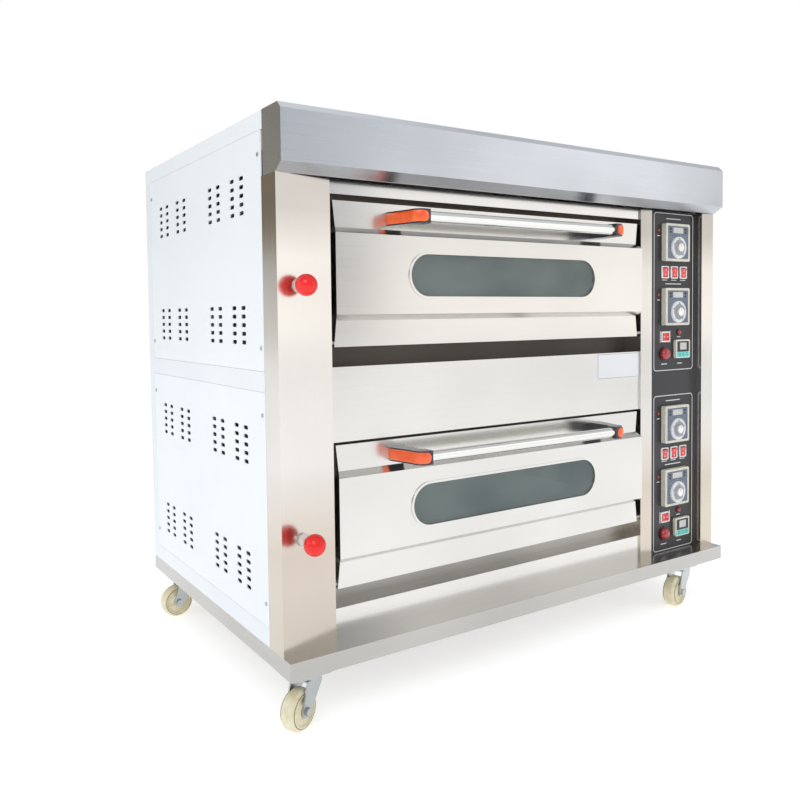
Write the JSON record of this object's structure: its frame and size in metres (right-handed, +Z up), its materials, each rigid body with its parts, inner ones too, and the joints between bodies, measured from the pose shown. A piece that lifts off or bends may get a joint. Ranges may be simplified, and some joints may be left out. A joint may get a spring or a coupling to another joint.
{
  "type": "two-deck bakery oven",
  "caption": "Free-standing electric deck oven with stacked baking chambers, drop-down windowed doors, dial controllers, damper pull rods and swivel casters.",
  "frame": {"origin": "on the floor, under the middle of the oven", "axes": "+X to the right seen from the front, +Y to the back, +Z up; the doors face -Y"},
  "size_m": [1.2603, 0.8623, 1.114],
  "materials": {
    "stainless": "brushed stainless sheet",
    "stainless_bright": "bright polished stainless sheet",
    "painted_panel": "pale satin paint on sheet steel",
    "frame_paint": "pale satin paint on square tube",
    "instrument_black": "black satin paint with white outlines",
    "chamber_steel": "aluminised sheet steel",
    "hearth": "unglazed ceramic slab",
    "element": "oxidised sheathed heating rod",
    "mineral_wool": "mineral wool board",
    "handle_steel": "polished stainless tube",
    "handle_black": "black moulded heat-resistant plastic",
    "handle_orange": "orange moulded plastic",
    "window_glass": "heat-resistant glass",
    "instrument_grey": "ivory moulded instrument case",
    "dial_grey": "grey moulded dial with a silver knob",
    "switch_white": "white moulded switch surround",
    "switch_red": "red translucent rocker key",
    "lens_red": "red moulded lens",
    "zinc": "zinc-plated pressed steel",
    "caster_tread": "cream nylon",
    "ball_red": "glossy red knob",
    "bush_nylon": "pale nylon bush",
    "gland_black": "black cable gland",
    "lamp_glass": "oven lamp glass"
  },
  "bodies": {
    "root": {"base_frame": "stainless", "carcass_frame": "frame_paint", "left_column": "stainless", "right_column": "stainless", "control_panel": "instrument_black", "hood": "stainless", "top_cover": "painted_panel", "left_side_panels": "painted_panel", "right_side_panels": "painted_panel", "rear_covers": "painted_panel", "front_panels": "stainless_bright", "oven_chambers": "chamber_steel", "hearth_plates": "hearth", "heating_elements": "element", "insulation": "mineral_wool", "instrument_housings": "instrument_grey", "switch_bezels": "switch_white", "signal_lamps": "lens_red", "caster_plates": "zinc", "power_inlet": "gland_black", "hinge_pins": "zinc", "damper_bushes": "bush_nylon", "panel_screws": "zinc", "oven_lamps": "lamp_glass"},
    "lower_door": {"lower_door_shell": "stainless", "lower_door_liner": "stainless_bright", "lower_door_glass": "window_glass", "lower_handle_tube": "handle_steel", "lower_handle_brackets": "handle_black", "lower_handle_caps": "handle_orange"},
    "lower_top_dial": {"lower_top_dial": "dial_grey"},
    "lower_bottom_dial": {"lower_bottom_dial": "dial_grey"},
    "lower_top_heat_rocker": {"lower_top_heat_rocker": "switch_red"},
    "lower_power_rocker": {"lower_power_rocker": "switch_red"},
    "lower_bottom_heat_rocker": {"lower_bottom_heat_rocker": "switch_red"},
    "lower_light_switch": {"lower_light_switch": "switch_red"},
    "lower_damper": {"lower_damper_rod": "handle_steel", "lower_damper_ball": "ball_red"},
    "upper_door": {"upper_door_shell": "stainless", "upper_door_liner": "stainless_bright", "upper_door_glass": "window_glass", "upper_handle_tube": "handle_steel", "upper_handle_brackets": "handle_black", "upper_handle_caps": "handle_orange"},
    "upper_top_dial": {"upper_top_dial": "dial_grey"},
    "upper_bottom_dial": {"upper_bottom_dial": "dial_grey"},
    "upper_top_heat_rocker": {"upper_top_heat_rocker": "switch_red"},
    "upper_power_rocker": {"upper_power_rocker": "switch_red"},
    "upper_bottom_heat_rocker": {"upper_bottom_heat_rocker": "switch_red"},
    "upper_light_switch": {"upper_light_switch": "switch_red"},
    "upper_damper": {"upper_damper_rod": "handle_steel", "upper_damper_ball": "ball_red"},
    "front_left_fork": {"front_left_fork": "zinc"},
    "front_left_wheel": {"front_left_wheel": "caster_tread"},
    "front_right_fork": {"front_right_fork": "zinc"},
    "front_right_wheel": {"front_right_wheel": "caster_tread"},
    "rear_left_fork": {"rear_left_fork": "zinc"},
    "rear_left_wheel": {"rear_left_wheel": "caster_tread"},
    "rear_right_fork": {"rear_right_fork": "zinc"},
    "rear_right_wheel": {"rear_right_wheel": "caster_tread"}
  },
  "joints": [
    {"name": "lower_door_hinge", "type": "hinge", "parent": "root", "child": "lower_door", "pos_m": [-0.0675, -0.3379, 0.231], "axis": [1, 0, 0], "range_deg": [0, 90]},
    {"name": "lower_top_dial_turn", "type": "hinge", "parent": "root", "child": "lower_top_dial", "pos_m": [0.493, -0.3615, 0.444], "axis": [0, 1, 0], "range_deg": [0, 300]},
    {"name": "lower_bottom_dial_turn", "type": "hinge", "parent": "root", "child": "lower_bottom_dial", "pos_m": [0.493, -0.3615, 0.282], "axis": [0, 1, 0], "range_deg": [0, 300]},
    {"name": "lower_top_heat_rocker_tilt", "type": "hinge", "parent": "root", "child": "lower_top_heat_rocker", "pos_m": [0.4575, -0.3485, 0.382], "axis": [-1, 0, 0], "range_deg": [0, 14]},
    {"name": "lower_power_rocker_tilt", "type": "hinge", "parent": "root", "child": "lower_power_rocker", "pos_m": [0.493, -0.3485, 0.382], "axis": [-1, 0, 0], "range_deg": [0, 14]},
    {"name": "lower_bottom_heat_rocker_tilt", "type": "hinge", "parent": "root", "child": "lower_bottom_heat_rocker", "pos_m": [0.5285, -0.3485, 0.382], "axis": [-1, 0, 0], "range_deg": [0, 14]},
    {"name": "lower_light_switch_tilt", "type": "hinge", "parent": "root", "child": "lower_light_switch", "pos_m": [0.459, -0.3485, 0.219], "axis": [0, 0, 1], "range_deg": [0, 14]},
    {"name": "lower_damper_slide", "type": "slide", "parent": "root", "child": "lower_damper", "axis": [0, -1, 0], "range_m": [-0.016, 0.044]},
    {"name": "upper_door_hinge", "type": "hinge", "parent": "root", "child": "upper_door", "pos_m": [-0.0675, -0.3379, 0.692], "axis": [1, 0, 0], "range_deg": [0, 90]},
    {"name": "upper_top_dial_turn", "type": "hinge", "parent": "root", "child": "upper_top_dial", "pos_m": [0.493, -0.3615, 0.905], "axis": [0, 1, 0], "range_deg": [0, 300]},
    {"name": "upper_bottom_dial_turn", "type": "hinge", "parent": "root", "child": "upper_bottom_dial", "pos_m": [0.493, -0.3615, 0.743], "axis": [0, 1, 0], "range_deg": [0, 300]},
    {"name": "upper_top_heat_rocker_tilt", "type": "hinge", "parent": "root", "child": "upper_top_heat_rocker", "pos_m": [0.4575, -0.3485, 0.843], "axis": [-1, 0, 0], "range_deg": [0, 14]},
    {"name": "upper_power_rocker_tilt", "type": "hinge", "parent": "root", "child": "upper_power_rocker", "pos_m": [0.493, -0.3485, 0.843], "axis": [-1, 0, 0], "range_deg": [0, 14]},
    {"name": "upper_bottom_heat_rocker_tilt", "type": "hinge", "parent": "root", "child": "upper_bottom_heat_rocker", "pos_m": [0.5285, -0.3485, 0.843], "axis": [-1, 0, 0], "range_deg": [0, 14]},
    {"name": "upper_light_switch_tilt", "type": "hinge", "parent": "root", "child": "upper_light_switch", "pos_m": [0.459, -0.3485, 0.68], "axis": [0, 0, 1], "range_deg": [0, 14]},
    {"name": "upper_damper_slide", "type": "slide", "parent": "root", "child": "upper_damper", "axis": [0, -1, 0], "range_m": [0, 0.06]},
    {"name": "front_left_swivel", "type": "hinge", "parent": "root", "child": "front_left_fork", "pos_m": [-0.576, -0.3745, 0.086], "axis": [0, 0, 1], "continuous": true},
    {"name": "front_left_roll", "type": "hinge", "parent": "front_left_fork", "child": "front_left_wheel", "pos_m": [-0.59847, -0.38546, 0.0375], "axis": [-0.4384, 0.8988, 0], "continuous": true},
    {"name": "front_right_swivel", "type": "hinge", "parent": "root", "child": "front_right_fork", "pos_m": [0.484, -0.3745, 0.086], "axis": [0, 0, 1], "continuous": true},
    {"name": "front_right_roll", "type": "hinge", "parent": "front_right_fork", "child": "front_right_wheel", "pos_m": [0.45955, -0.3797, 0.0375], "axis": [-0.2079, 0.9781, 0], "continuous": true},
    {"name": "rear_left_swivel", "type": "hinge", "parent": "root", "child": "rear_left_fork", "pos_m": [-0.576, 0.293, 0.086], "axis": [0, 0, 1], "continuous": true},
    {"name": "rear_left_roll", "type": "hinge", "parent": "rear_left_fork", "child": "rear_left_wheel", "pos_m": [-0.60098, 0.29213, 0.0375], "axis": [-0.0349, 0.9994, 0], "continuous": true},
    {"name": "rear_right_swivel", "type": "hinge", "parent": "root", "child": "rear_right_fork", "pos_m": [0.484, 0.293, 0.086], "axis": [0, 0, 1], "continuous": true},
    {"name": "rear_right_roll", "type": "hinge", "parent": "rear_right_fork", "child": "rear_right_wheel", "pos_m": [0.45919, 0.28995, 0.0375], "axis": [-0.1219, 0.9925, 0], "continuous": true}
  ]
}
